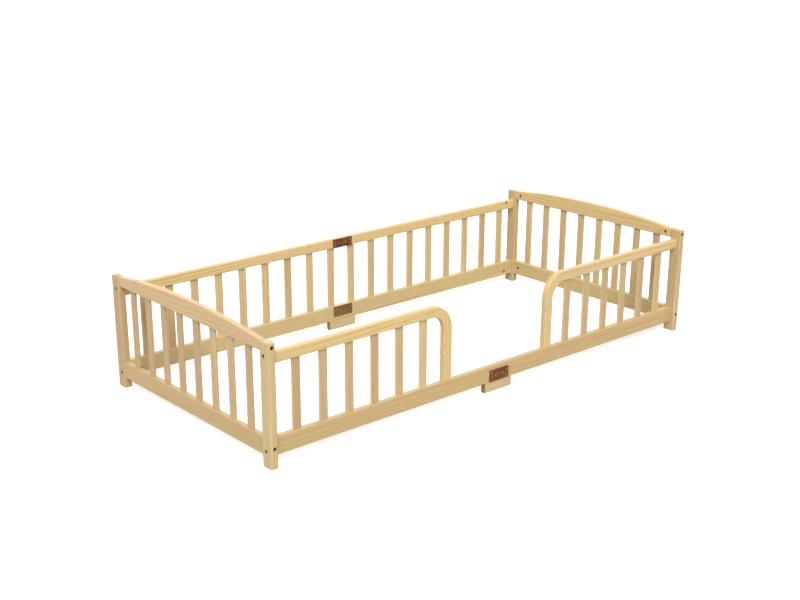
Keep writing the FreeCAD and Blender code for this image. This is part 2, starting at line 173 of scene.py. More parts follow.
def saw_from_log(piece, grain_and_width, tones, boards, knot):
    """Gives each point its place in the log that its board was sawn from: distance along the grain,
    then distances from the heart across the board's width and through its thickness. A board is
    sawn 20 to 50 mm out from the heart and 8 to 40 mm to one side of it, with a slight slope, so
    the rings show as long lines that run out in arches. Its place along the log is anywhere in
    40 m, so that no two boards match. The knot is a place along and across the board, and the
    knot's radius."""
    points = np.zeros(len(piece.data.vertices) * 3)
    piece.data.vertices.foreach_get("co", points)
    points = points.reshape(boards, -1, 3)
    along, width = grain_and_width
    points = points[..., [along, width, 3 - along - width]]
    middle = (points.max(1, keepdims=True) + points.min(1, keepdims=True)) / 2
    each = (boards, 1, 1)
    shift = np.concatenate([rng.uniform(0, 40, each),
                            rng.uniform(8 * mm, 40 * mm, each) * rng.choice([-1, 1], each),
                            rng.uniform(20 * mm, 50 * mm, each) * rng.choice([-1, 1], each)], -1)
    slope = rng.uniform(0.004, 0.02, (boards, 1, 2)) * rng.choice([-1, 1], (boards, 1, 2))
    log = points - middle + shift
    log[..., 1:] += (points - middle)[..., :1] * slope
    values = {"grain": log, "knot": np.broadcast_to(shift + (knot[0], knot[1], 0), log.shape)}
    for name, value in values.items():
        layer = piece.data.attributes.new(name, "FLOAT_VECTOR", "POINT")
        layer.data.foreach_set("vector", np.ascontiguousarray(value).ravel())
    for name, value in {"tone": tones, "knot_radius": knot[2]}.items():
        layer = piece.data.attributes.new(name, "FLOAT", "POINT")
        spread = np.broadcast_to(np.reshape(value, (-1, 1)), log.shape[:2])
        layer.data.foreach_set("value", np.ascontiguousarray(spread, float).ravel())


def linear(code, alpha=1.0):
    """An sRGB hex colour as the linear colour that shaders work in."""
    parts = [int(code[place:place + 2], 16) / 255 for place in (1, 3, 5)]
    return [part / 12.92 if part <= 0.04045 else ((part + 0.055) / 1.055) ** 2.4
            for part in parts] + [alpha]


def add(tree, kind, settings=None, **inputs):
    """Adds a shader node. Settings go on the node, and stops, (place, grey) pairs, on its ramp;
    inputs go on its sockets, as values or as links from other sockets. A name such as Scale is a
    socket, and input_0 is the first socket."""
    node = tree.nodes.new("ShaderNode" + kind)
    for name, value in (settings or {}).items():
        if name == "stops":
            while len(node.color_ramp.elements) < len(value):
                node.color_ramp.elements.new(1.0)
            for element, (place, grey) in zip(node.color_ramp.elements, value):
                element.position, element.color = place, (grey, grey, grey, 1)
        else:
            setattr(node, name, value)
    for name, value in inputs.items():
        key = int(name[6:]) if name.startswith("input_") else name.replace("_", " ")
        if isinstance(value, bpy.types.NodeSocket):
            tree.links.new(value, node.inputs[key])
        else:
            node.inputs[key].default_value = value
    return node


def pine(name, pale, warm, late, contrast):
    """Solid pine, planed, sanded and sealed with a clear satin lacquer. The eye gets a pale creamy
    wood with soft late-wood lines and arches, pores along the grain, now and then a knot that the
    rings part round, and a low broad sheen. Rings are 2 to 5 mm apart in the real wood, and drawn
    7 mm apart so that they show."""
    ring_spacing = 7 * mm
    material = bpy.data.materials.new(name)
    material.use_nodes = True
    tree = material.node_tree
    shader = tree.nodes["Principled BSDF"]
    grain = add(tree, "Attribute", {"attribute_name": "grain"}).outputs["Vector"]
    tone = add(tree, "Attribute", {"attribute_name": "tone"}).outputs["Fac"]
    knot_place = add(tree, "Attribute", {"attribute_name": "knot"}).outputs["Vector"]
    knot_radius = add(tree, "Attribute", {"attribute_name": "knot_radius"}).outputs["Fac"]

    # Distance from the knot on the board's face, in knot radii, and how far the rings part round it
    from_knot = add(tree, "VectorMath", {"operation": "SUBTRACT"}, input_0=grain,
                    input_1=knot_place).outputs["Vector"]
    on_face = add(tree, "VectorMath", {"operation": "MULTIPLY"}, input_0=from_knot,
                  input_1=(0.7, 1, 0)).outputs["Vector"]
    distance = add(tree, "VectorMath", {"operation": "LENGTH"}, input_0=on_face).outputs["Value"]
    radii = add(tree, "Math", {"operation": "DIVIDE"}, input_0=distance,
                input_1=knot_radius).outputs["Value"]
    parting = add(tree, "MapRange", {"interpolation_type": "SMOOTHERSTEP"}, Value=radii,
                  From_Min=0.0, From_Max=9.0, To_Min=9 * mm, To_Max=0.0).outputs["Result"]
    aside = add(tree, "CombineXYZ", Z=parting).outputs["Vector"]
    parted = add(tree, "VectorMath", {"operation": "ADD"}, input_0=grain,
                 input_1=aside).outputs["Vector"]

    # Growth rings: circles round the heart of the tree, their waver drawn out 12 times along it
    drawn_out = add(tree, "Mapping", Vector=parted, Scale=(1 / 12, 1, 1)).outputs["Vector"]
    rings = add(tree, "TexWave",
                {"wave_type": "RINGS", "rings_direction": "X", "wave_profile": "SAW"},
                Vector=drawn_out, Scale=math.pi / 10 / ring_spacing, Distortion=7.0, Detail=2.0,
                Detail_Scale=0.4, Detail_Roughness=0.4).outputs["Fac"]
    late_wood = add(tree, "ValToRGB",
                    {"stops": [(0.0, 0.35), (0.22, 0.0), (0.55, 0.25), (0.9, 1.0), (1.0, 0.35)]},
                    Fac=rings).outputs["Color"]

    # Broad drift of colour, 50 mm across and some 400 mm along
    drift_place = add(tree, "Mapping", Vector=grain, Scale=(2.5, 20, 20)).outputs["Vector"]
    drift = add(tree, "TexNoise", Vector=drift_place, Scale=1.0, Detail=3.0).outputs["Fac"]

    # Pores and resin lines, 0.9 mm across and 40 mm long
    fine_place = add(tree, "Mapping", Vector=grain, Scale=(25, 1100, 1100)).outputs["Vector"]
    fibres = add(tree, "TexNoise", Vector=fine_place, Scale=1.0, Detail=4.0,
                 Roughness=0.6).outputs["Fac"]

    lift = add(tree, "MapRange", Value=drift, From_Min=0.3, From_Max=0.7, To_Min=-0.35,
               To_Max=0.35).outputs["Result"]
    blend = add(tree, "Math", {"operation": "ADD", "use_clamp": True}, input_0=tone,
                input_1=lift).outputs["Value"]
    ground = add(tree, "Mix", {"data_type": "RGBA"}, input_0=blend, input_6=linear(pale),
                 input_7=linear(warm)).outputs[2]
    clear = add(tree, "MapRange", Value=drift, From_Min=0.35, From_Max=0.65, To_Min=contrast,
                To_Max=0.25 * contrast).outputs["Result"]
    lines = add(tree, "Math", {"operation": "MULTIPLY"}, input_0=late_wood,
                input_1=clear).outputs["Value"]
    lined = add(tree, "Mix", {"data_type": "RGBA"}, input_0=lines, input_6=ground,
                input_7=linear(late)).outputs[2]
    shade = add(tree, "MapRange", Value=fibres, From_Min=0.3, From_Max=0.7, To_Min=0.9,
                To_Max=1.08).outputs["Result"]
    streaked = add(tree, "VectorMath", {"operation": "SCALE"}, input_0=lined,
                   Scale=shade).outputs["Vector"]
    knotty = add(tree, "ValToRGB",
                 {"stops": [(0.0, 0.12), (0.6, 0.15), (0.85, 0.4), (1.0, 0.15)]},
                 Fac=radii).outputs["Color"]
    inside = add(tree, "MapRange", {"interpolation_type": "SMOOTHSTEP"}, Value=radii,
                 From_Min=0.9, From_Max=1.6, To_Min=1.0, To_Max=0.0).outputs["Result"]
    dark = add(tree, "Math", {"operation": "MULTIPLY"}, input_0=knotty,
               input_1=inside).outputs["Value"]
    knotted = add(tree, "Mix", {"data_type": "RGBA"}, input_0=dark, input_6=streaked,
                  input_7=linear(knot_brown)).outputs[2]

    # Sawn ends drink the lacquer and turn brown, and narrow sides get a painted highlight that is
    # lighter and yellower than the faces
    end_grain = add(tree, "Attribute", {"attribute_name": "end_grain"}).outputs["Fac"]
    edge = add(tree, "Attribute", {"attribute_name": "board_edge"}).outputs["Fac"]
    highlighted = add(tree, "Mix", {"data_type": "RGBA"}, input_0=edge, input_6=knotted,
                input_7=linear(highlight_yellow)).outputs[2]
    coloured = add(tree, "Mix", {"data_type": "RGBA"}, input_0=end_grain, input_6=highlighted,
                   input_7=linear(sawn_end_brown)).outputs[2]
    tree.links.new(coloured, shader.inputs["Base Color"])

    height = add(tree, "Math", {"operation": "MULTIPLY_ADD"}, input_0=late_wood, input_1=0.5,
                 input_2=fibres).outputs["Value"]
    bump = add(tree, "Bump", Strength=0.12, Distance=0.2 * mm, Height=height).outputs["Normal"]
    tree.links.new(bump, shader.inputs["Normal"])
    sheen = add(tree, "MapRange", Value=fibres, From_Min=0.3, From_Max=0.7, To_Min=0.44,
                To_Max=0.56).outputs["Result"]
    tree.links.new(sheen, shader.inputs["Roughness"])
    shader.inputs["IOR"].default_value = 1.5
    shader.inputs["Coat Weight"].default_value = 0.08
    shader.inputs["Coat Roughness"].default_value = 0.35
    return material


def finish(piece, node, material, crease=38):
    """Shading, finish, body and slot of a piece, and the CAD node that it stands for."""
    soften(piece, crease)
    piece.data.materials.append(material)
    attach(piece, "root")
    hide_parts(node)


def lay_up(piece, node, grain_and_width, material, tones, boards=1, knot=no_knot,
           sawn_ends=0.0, narrow_side_highlight=0.0):
    """A finished wooden piece, with its place in the log. Sawn ends is how brown its end grain is,
    and narrow side highlight how strongly its narrow sides are painted lighter and yellower than
    its faces, a painted highlight, both from 0 for the same as the rest. A face is an end or a
    side if its normal has a cosine over 0.6 with the grain or with the width."""
    saw_from_log(piece, grain_and_width, tones, boards, knot)
    normals = np.zeros(len(piece.data.polygons) * 3)
    piece.data.polygons.foreach_get("normal", normals)
    facing = np.abs(normals.reshape(-1, 3)[:, grain_and_width])
    for name, side, amount in (("end_grain", 0, sawn_ends), ("board_edge", 1, narrow_side_highlight)):
        layer = piece.data.attributes.new(name, "FLOAT", "FACE")
        layer.data.foreach_set("value", (facing[:, side] > 0.6) * amount)
    finish(piece, node, material)


post_pine = pine("pine_posts_lacquered", "#D5BD89", "#BE9E71", "#AC8558", 0.4)
post_tones = {"post_front_left": 0.1, "post_front_right": 0.5,
              "post_back_left": 1.0, "post_back_right": 0.7}

for side_name, side in (("front", -1), ("back", 1)):
    for end_name, end in (("left", -1), ("right", 1)):
        node = f"post_{side_name}_{end_name}"
        low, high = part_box(node)
        post = piece_from(node + "_planed",
                          skin(straight_board(low, high, 2, post_edge_round, post_foot_round,
                                              post_top_round)))
        outer_x = high.x if end > 0 else low.x
        outer_y = high.y if side > 0 else low.y
        drill(post,
              *[turned((outer_x, side * side_rail_y, height), (-end, 0, 0), bolt_bore)
                for height in side_bolt_heights],
              *[turned((end * end_rail_x, outer_y, height), (0, -side, 0), bolt_bore)
                for height in end_bolt_heights])
        lay_up(post, node, (2, 1), post_pine, post_tones[node])


# ---- Bottom rails -------------------------------------------------------------------------------
# Pine boards 18 by 50 mm that stand 30 mm off the floor and take the lower ends of all the slats.
# The front and the back have two halves each. Each end at a post is pulled up by a bolt in a barrel
# nut, which is let in from the inner face.

rail_edge_round = 3 * mm
nut_radius = 5 * mm
nut_depth = 2 * mm
nut_length = 14 * mm
nut_clearance = 0.2 * mm
side_nut_x = 763.5 * mm
end_nut_y = 322.5 * mm

low_rail_pine = pine("pine_bottom_rails_lacquered", "#D4BB83", "#C8AA75", "#AF8D58", 0.6)
low_rail_tones = {"front_bottom_rail_left": 0.8, "front_bottom_rail_right": 1.0,
                  "back_bottom_rail_left": 0.0, "back_bottom_rail_right": 0.1,
                  "end_bottom_rail_left": 1.0, "end_bottom_rail_right": 0.1}


def nut_hole(place, direction):
    """Blind hole for a barrel nut, from just outside the board's inner face."""
    radius = nut_radius + nut_clearance
    return turned(place, direction, [(-overrun, radius), (nut_depth + nut_length, radius)],
                  sides=24)


def side_nut_hole(end, side, height, low, high):
    """Hole in a long rail's inner face, which is the one nearer the middle of the bed."""
    inner_y = low.y if side > 0 else high.y
    return nut_hole((end * side_nut_x, inner_y, height), (0, side, 0))


for side_name, side in (("front", -1), ("back", 1)):
    for end_name, end in (("left", -1), ("right", 1)):
        node = f"{side_name}_bottom_rail_{end_name}"
        low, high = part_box(node)
        rail = piece_from(node + "_planed", skin(straight_board(low, high, 0, rail_edge_round)))
        drill(rail, side_nut_hole(end, side, side_bolt_heights[0], low, high))
        lay_up(rail, node, (0, 2), low_rail_pine, low_rail_tones[node])

for end_name, end in (("left", -1), ("right", 1)):
    node = f"end_bottom_rail_{end_name}"
    low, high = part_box(node)
    rail = piece_from(node + "_planed", skin(straight_board(low, high, 1, rail_edge_round)))
    inner_x = low.x if end > 0 else high.x
    drill(rail, *[nut_hole((inner_x, side * end_nut_y, end_bolt_heights[0]), (end, 0, 0))
                  for side in (-1, 1)])
    lay_up(rail, node, (1, 2), low_rail_pine, low_rail_tones[node])


# ---- Slats --------------------------------------------------------------------------------------
# Thin pine slats, 7 by 25.5 mm, with eased edges. Their ends are let 8 mm into mortises in the
# rails, so no fixings show. The back's slats come in two groups of nine, one for each half.

slat_edge_round = 1.6 * mm
slat_corner_steps = 4
slat_width = 25.5 * mm
back_slat_count = 9

slat_pine = pine("pine_slats_lacquered", "#DAC08C", "#C2A277", "#AE8656", 0.45)
slat_side_highlight = 0.85  # strength of the painted highlight on the narrow sides of the guards' and the back's slats

# Tone of each slat, from yellow and pale at 0 to pinkish tan at 1
single_tones = {"end_slat_left": (0.6, 0.5, 0.5, 0.9, 0.9, 1.0, 1.0, 1.0),
                "end_slat_right": (0.7, 0.7, 0.3, 0.35, 0.45, 0.6, 0.35, 0.4),
                "guard_slat_left": (0.1, 0.6, 0.6, 0.8, 0.5, 0.95),
                "guard_slat_right": (0.7, 0.9, 0.9, 1.0, 0.95, 0.7)}
back_tones = {"left": (0.9, 0.7, 0.2, 0.1, 0.3, 0.3, 0.6, 0.4, 0.4),
              "right": (0.3, 0.4, 0.3, 0.3, 0.4, 0.6, 0.4, 0.7, 0.4)}

for row, tones in single_tones.items():
    for number, tone in enumerate(tones, 1):
        node = f"{row}_{number}"
        low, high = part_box(node)
        slat = piece_from(node + "_planed",
                          skin(straight_board(low, high, 2, slat_edge_round,
                                              steps=slat_corner_steps)))
        if "end" in row:
            lay_up(slat, node, (2, 1), slat_pine, tone)
        else:
            lay_up(slat, node, (2, 0), slat_pine, tone, narrow_side_highlight=slat_side_highlight)

for end_name in ("left", "right"):
    node = f"back_slats_{end_name}"
    low, high = (np.array(corner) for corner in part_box(node))
    step = (high[0] - low[0] - slat_width) / (back_slat_count - 1)
    group = []
    for number in range(back_slat_count):
        left = low + (number * step, 0, 0)
        right = np.array([left[0] + slat_width, high[1], high[2]])
        group.append(skin(straight_board(left, right, 2, slat_edge_round,
                                         steps=slat_corner_steps)))
    slats = piece_from(node + "_planed", *group)
    lay_up(slats, node, (2, 0), slat_pine, back_tones[end_name], back_slat_count,
           narrow_side_highlight=slat_side_highlight)


# ---- Top rails of the back ----------------------------------------------------------------------
# Two pine boards 18 by 31 mm that meet over the middle of the back, edges rounded for small hands.
# They are bolted to the posts just as the bottom rails are. The wood is yellower and paler here.

top_rail_pine = pine("pine_top_rails_lacquered", "#E5C98A", "#D7B786", "#BE935B", 0.65)
back_knots = {"left": (265 * mm, 4 * mm, 4 * mm), "right": no_knot}

for end_name, end in (("left", -1), ("right", 1)):
    node = f"back_top_rail_{end_name}"
    low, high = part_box(node)
    rail = piece_from(node + "_planed", skin(straight_board(low, high, 0, rail_edge_round)))
    drill(rail, side_nut_hole(end, 1, side_bolt_heights[1], low, high))
    lay_up(rail, node, (0, 2), top_rail_pine, tones=0.25, knot=back_knots[end_name])


# ---- Arched top rails of the ends ---------------------------------------------------------------
# One pine board to each end, straight underneath and bandsawn to a low arch on top: 29 mm deep at
# the posts and 49.5 mm in the middle. The arch is part of one circle.

end_rail_depth = 29 * mm
arch_tones = {"left": 0.9, "right": 0.4}
arch_knots = {"left": (260 * mm, 14 * mm, 6 * mm), "right": (-300 * mm, -4 * mm, 2 * mm)}


def arched_board(low, high, edge, stations=49):
    """Outline carried along Y while its height follows the arch: the top is a circle's arc that
    rises from the end depth to the crown, z = crown - R + sqrt(R^2 - y^2), where
    R = (half^2 + rise^2) / (2 rise)."""
    low, high = np.array(low), np.array(high)
    half = (high[1] - low[1]) / 2
    rise = high[2] - (low[2] + end_rail_depth)
    radius = (half ** 2 + rise ** 2) / (2 * rise)
    short = end_round * (1 - np.cos(quarter_turn))
    drawn_in = end_round * (1 - np.sin(quarter_turn))
    reach = np.concatenate([-half + short, np.linspace(-half, half, stations)[1:-1],
                            half - short[::-1]])
    inset = np.concatenate([drawn_in, np.zeros(stations - 2), drawn_in[::-1]])
    top = high[2] - radius + np.sqrt(radius ** 2 - reach ** 2)
    flat = outline(top - low[2] - 2 * inset, high[0] - low[0] - 2 * inset, edge - inset)
    rings = np.zeros(flat.shape[:2] + (3,))
    rings[..., 0] = flat[..., 1] + (low[0] + high[0]) / 2
    rings[..., 1] = reach[:, None] + (low[1] + high[1]) / 2
    rings[..., 2] = flat[..., 0] + ((top + low[2]) / 2)[:, None]
    return rings


for end_name, end in (("left", -1), ("right", 1)):
    node = f"end_top_rail_{end_name}"
    low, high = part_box(node)
    rail = piece_from(node + "_planed", skin(arched_board(low, high, rail_edge_round)))
    inner_x = low.x if end > 0 else high.x
    drill(rail, *[nut_hole((inner_x, side * end_nut_y, end_bolt_heights[1]), (end, 0, 0))
                  for side in (-1, 1)])
    lay_up(rail, node, (1, 2), top_rail_pine, arch_tones[end_name],
           knot=arch_knots[end_name])


# ---- Front guards -------------------------------------------------------------------------------
# Each guard has a top rail and an upright beside the doorway, mitred together at 45 degrees and cut
# to one round corner, 75 mm radius outside and 44 mm inside. The grain stays straight in each.

corner_x = 265 * mm
corner_z = 234 * mm
corner_middle_radius = 59.5 * mm
guard_width = 31 * mm
guard_thickness = 18 * mm
guard_rail_tones = {"left": 0.15, "right": 0.6}
upright_knots = {"left": (5 * mm, -4 * mm, 3.5 * mm), "right": (20 * mm, -17 * mm, 3.5 * mm)}


def bent_board(start, end, edge, stations=17):
    """Outline carried straight from the post or the bottom rail to the corner, then round it to the
    mitre. At turn a the middle is the corner's centre plus radius times (-sin a, cos a) for the top
    rail and (-cos a, sin a) for the upright; the outline stays square to that path."""
    top_rail = start[1] > corner_z
    turn = np.linspace(0, math.pi / 4, stations)
    out = (-np.sin(turn), np.cos(turn)) if top_rail else (-np.cos(turn), np.sin(turn))
    outward = np.stack([out[0], out[1]], -1)
    bend = np.array([corner_x, corner_z]) + corner_middle_radius * outward
    middle = np.concatenate([[start], bend])
    outward = np.concatenate([outward[:1], outward])
    flat = outline(guard_width, guard_thickness, edge)
    rings = np.zeros((len(middle), len(flat), 3))
    rings[..., 0] = middle[:, None, 0] + outward[:, None, 0] * flat[:, 0]
    rings[..., 2] = middle[:, None, 1] + outward[:, None, 1] * flat[:, 0]
    rings[..., 1] = flat[:, 1] - side_rail_y
    rings[..., 0] *= end
    return rings if (end > 0) == top_rail else rings[::-1]


for end_name, end in (("left", -1), ("right", 1)):
    node = f"guard_top_rail_{end_name}"
    low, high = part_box(node)
    post_x = max(abs(low.x), abs(high.x))
    rail = piece_from(node + "_planed",
                      skin(bent_board((post_x, corner_z + corner_middle_radius), end,
                                      rail_edge_round)))
    drill(rail, side_nut_hole(end, -1, side_bolt_heights[1], low, high))
    lay_up(rail, node, (0, 2), top_rail_pine, guard_rail_tones[end_name])
    node = f"guard_upright_{end_name}"
    low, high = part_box(node)
    upright = piece_from(node + "_planed",
                         skin(bent_board((corner_x - corner_middle_radius, low.z), end,
                                         rail_edge_round)))
    lay_up(upright, node, (2, 0), top_rail_pine, tones=0.35,
           knot=upright_knots[end_name])


# ---- Middle feet --------------------------------------------------------------------------------
# A pine block under the middle of each long side, where the two halves of the rail meet, with sawn
# ends that have gone brown. Four screws hold it up to the rail from below, their heads sunk 2 mm.

foot_edge_round = 2 * mm
foot_end_round = 1 * mm
foot_screw_places = (-42 * mm, -15 * mm, 15 * mm, 42 * mm)
foot_screw_head_radius = 4.5 * mm
foot_screw_sink = 2 * mm
foot_hole_radius = foot_screw_head_radius + 0.1 * mm
foot_hole_depth = foot_screw_sink + 2.2 * mm

for side_name, side in (("front", -1), ("back", 1)):
    node = f"middle_foot_{side_name}"
    low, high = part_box(node)
    foot = piece_from(node + "_planed",
                      skin(straight_board(low, high, 0, foot_edge_round, foot_end_round,
                                          foot_end_round)))
    drill(foot, *[turned((place, side * side_rail_y, 0), (0, 0, 1),
                         [(-overrun, foot_hole_radius), (foot_hole_depth, foot_hole_radius)],
                         sides=24)
                  for place in foot_screw_places])
    lay_up(foot, node, (0, 2), post_pine, tones=0.2, sawn_ends=0.8)


# ---- Joining plates -----------------------------------------------------------------------------
# Punched steel plates over the seam in each pair of rails, with a brown oxide finish. Each is held
# by six countersunk screws, in two groups of three that point at the seam.

plate_corner_round = 2 * mm
plate_edge_round = 0.4 * mm
plate_thickness = 2.5 * mm
screw_outer, screw_inner = 29.5 * mm, 14.5 * mm
screw_head_radius = 3.5 * mm
plate_hole_radius = 1.95 * mm

# A 45 degree cone that starts a little outside the plate, then a plain hole
countersink = [(-0.3 * mm, screw_head_radius + 0.5 * mm), (1.8 * mm, plate_hole_radius),
               (plate_thickness + overrun, plate_hole_radius)]


def browned_plate(name, colour, worn):
    """Mild steel plate with a hot brown oxide finish, oiled. The eye gets a dull red-brown metal
    with cloudy patches 15 mm across and the fine tooth of the rolled sheet, 1 mm across."""
    material = bpy.data.materials.new(name)
    material.use_nodes = True
    tree = material.node_tree
    shader = tree.nodes["Principled BSDF"]
    place = add(tree, "TexCoord").outputs["Object"]
    patches = add(tree, "TexNoise", Vector=place, Scale=70.0, Detail=5.0).outputs["Fac"]
    tooth = add(tree, "TexNoise", Vector=place, Scale=1000.0, Detail=1.0).outputs["Fac"]
    cloudy = add(tree, "MapRange", Value=patches, From_Min=0.35, From_Max=0.65).outputs["Result"]
    colours = add(tree, "Mix", {"data_type": "RGBA"}, input_0=cloudy, input_6=linear(colour),
                  input_7=linear(worn)).outputs[2]
    tree.links.new(colours, shader.inputs["Base Color"])
    rough = add(tree, "MapRange", Value=patches, To_Min=0.5, To_Max=0.7).outputs["Result"]
    tree.links.new(rough, shader.inputs["Roughness"])
    bump = add(tree, "Bump", Strength=0.15, Distance=0.05 * mm, Height=tooth).outputs["Normal"]
    tree.links.new(bump, shader.inputs["Normal"])
    shader.inputs["Metallic"].default_value = 1.0
    return material


red_brown = browned_plate("steel_plate_red_brown", "#5F391C", "#7B5037")
olive_brown = browned_plate("steel_plate_olive_brown", "#6B4F2F", "#80653F")
plate_screw_heads = []

for node, rise, browned in (("front_plate", 7.5 * mm, red_brown),
                            ("back_bottom_plate", 7.5 * mm, olive_brown),
                            ("back_top_plate", 6.5 * mm, red_brown)):
    low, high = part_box(node)
    plate = piece_from(node + "_punched",
                       skin(straight_board(low, high, 1, plate_corner_round, plate_edge_round,
                                           plate_edge_round)))
    middle = (low.z + high.z) / 2
    heads = [(end * screw_outer, low.y, middle + above * rise)
             for end in (-1, 1) for above in (-1, 1)]
    heads += [(end * screw_inner, low.y, middle) for end in (-1, 1)]
    plate_screw_heads += heads
    drill(plate, *[turned(head, (0, 1, 0), countersink, sides=24) for head in heads])
    finish(plate, node, browned)


# ---- Countersunk screws -------------------------------------------------------------------------
# Cross-recess wood screws of browned steel: eighteen hold the plates, and eight longer ones come up
# through the feet. A head is a cone that ends flush in its countersink.

half_pitch = 0.8 * mm


def unit_of(piece):
    """The corner points and faces of a piece, which is then thrown away."""
    points = np.zeros(len(piece.data.vertices) * 3)
    piece.data.vertices.foreach_get("co", points)
    faces = [list(polygon.vertices) for polygon in piece.data.polygons]
    bpy.data.objects.remove(piece)
    return points.reshape(-1, 3), faces


def placed(unit, place, direction, spin=0.0):
    """A unit made on +Z, turned about it, then swung so that +Z lies along direction: each point
    becomes place + x side + y up + z direction."""
    points, faces = unit
    direction = np.array(direction, float)
    direction = direction / np.linalg.norm(direction)
    side = np.cross((0.0, 1.0, 0.0) if abs(direction[1]) < 0.9 else (1.0, 0.0, 0.0), direction)
    side = side / np.linalg.norm(side)
    up = np.cross(direction, side)
    turned_side = math.cos(spin) * side + math.sin(spin) * up
    turned_up = math.cos(spin) * up - math.sin(spin) * side
    return points @ np.stack([turned_side, turned_up, direction]) + np.array(place), faces


def wood_screw(head_radius, radius, length):
    """Countersunk screw on +Z with its head's face at zero: a short rim, a cone, a shank with a
    thread between 0.92 and 0.76 of its radius every 1.6 mm, a point, and a cross recess."""
    cone = head_radius - radius
    thread = np.arange(cone + 2 * mm, length - 3 * mm, half_pitch)
    swing = radius * (0.92 - 0.16 * (np.arange(len(thread)) % 2))
    screw = piece_from("screw", turned(
        (0, 0, 0), (0, 0, 1),
        [(0, head_radius - 0.15 * mm), (0.15 * mm, head_radius), (0.35 * mm, head_radius),
         (cone + 0.35 * mm, radius * 0.9)] + list(zip(thread, swing))
        + [(length - 2 * mm, radius * 0.6), (length, 0.1 * mm)], sides=24))
    arm, thin, deep = head_radius * 0.62, head_radius * 0.16, head_radius * 0.45
    drill(screw, *[skin(straight_board((-x, -y, -overrun), (x, y, deep), 2, least_round, 0, 0, 1))
                   for x, y in ((arm, thin), (thin, arm))])
    return unit_of(screw)


def browned_steel(name, colour, rubbed):
    """Steel fastener with a hot brown oxide finish, rubbed bright on its high places. The eye gets
    a dark warm metal with a dull gleam; the tumbling left fine scratches 0.4 mm apart."""
    material = bpy.data.materials.new(name)
    material.use_nodes = True
    tree = material.node_tree
    shader = tree.nodes["Principled BSDF"]
    place = add(tree, "TexCoord").outputs["Object"]
    scratches = add(tree, "TexNoise", Vector=place, Scale=2500.0, Detail=3.0).outputs["Fac"]
    cloud = add(tree, "TexNoise", Vector=place, Scale=220.0, Detail=3.0).outputs["Fac"]
    worn = add(tree, "MapRange", Value=cloud, From_Min=0.35, From_Max=0.7).outputs["Result"]
    colours = add(tree, "Mix", {"data_type": "RGBA"}, input_0=worn, input_6=linear(colour),
                  input_7=linear(rubbed)).outputs[2]
    tree.links.new(colours, shader.inputs["Base Color"])
    rough = add(tree, "MapRange", Value=scratches, To_Min=0.3, To_Max=0.55).outputs["Result"]
    tree.links.new(rough, shader.inputs["Roughness"])
    shader.inputs["Metallic"].default_value = 1.0
    return material


def group_of(name, node, material, units):
    """One finished piece from many placed units."""
    finish(piece_from(name, *units), node, material, crease=30)


screw_finish = browned_steel("steel_screws_browned", "#6E4C3A", "#B08A72")
screw = wood_screw(screw_head_radius, radius=1.75 * mm, length=15 * mm)
group_of("plate_screws_driven", "plate_screws", screw_finish,
         [placed(screw, head, (0, 1, 0), spin=rng.uniform(0, 3)) for head in plate_screw_heads])
screw = wood_screw(foot_screw_head_radius, radius=2.25 * mm, length=45 * mm)
group_of("foot_screws_driven", "foot_screws", screw_finish,
         [placed(screw, (place, side * side_rail_y, foot_screw_sink), (0, 0, 1),
                 spin=rng.uniform(0, 3)) for side in (-1, 1) for place in foot_screw_places])


# ---- Bolts and barrel nuts ----------------------------------------------------------------------
# Socket-head bolts, 6 mm thick, pull each rail end to its post. The head sits in the post's bore,
# 1.5 mm below the surface, and the shank screws through a slotted barrel nut in the rail. All are
# steel with a brown oxide finish.

bolt_head_radius = 5 * mm
bolt_radius = 3 * mm
bolt_length = 60 * mm
bolt_head_sink = 1.5 * mm
bolt_head_height = 6 * mm
bolt_head_edge = 0.5 * mm
bolt_plain_shank = 30 * mm
bolt_tip_taper = 0.6 * mm
key_half = 2.5 * mm  # half of a 5 mm key, flat to flat
socket_depth = 3 * mm
socket_rim = 0.3 * mm
nut_rim = 0.4 * mm
nut_slot_half = 0.8 * mm
nut_slot_depth = 1.5 * mm

# A hexagon's radius at angle a is its half width over cos(a - the middle of the side that a is on)
angle = np.linspace(0, 2 * math.pi, 24, endpoint=False)
hexagon = key_half / np.cos((angle % (math.pi / 3)) - math.pi / 6)
shank_end = bolt_head_height + bolt_length
thread = np.arange(bolt_head_height + bolt_plain_shank, shank_end - 1 * mm, half_pitch)
bolt = turned((0, 0, 0), (0, 0, 1),
              [(socket_depth, hexagon), (socket_rim, hexagon), (0, hexagon + socket_rim),
               (0, bolt_head_radius - bolt_head_edge),
               (0.3 * bolt_head_edge, bolt_head_radius - 0.3 * bolt_head_edge),
               (bolt_head_edge, bolt_head_radius), (bolt_head_height, bolt_head_radius),
               (bolt_head_height, bolt_radius)]
              + list(zip(thread, bolt_radius * (1 - 0.08 * (np.arange(len(thread)) % 2))))
              + [(shank_end - bolt_tip_taper, bolt_radius),
                 (shank_end, bolt_radius - bolt_tip_taper)],
              sides=24)
nut = piece_from("nut", turned((0, 0, 0), (0, 0, 1),
                               [(0, nut_radius - nut_rim), (nut_rim, nut_radius),
                                (nut_length - nut_rim, nut_radius),
                                (nut_length, nut_radius - nut_rim)]))
drill(nut, skin(straight_board((-nut_slot_half, -nut_radius - overrun, -overrun),
                               (nut_slot_half, nut_radius + overrun, nut_slot_depth), 2,
                               least_round, 0, 0, 1)))
nut = unit_of(nut)

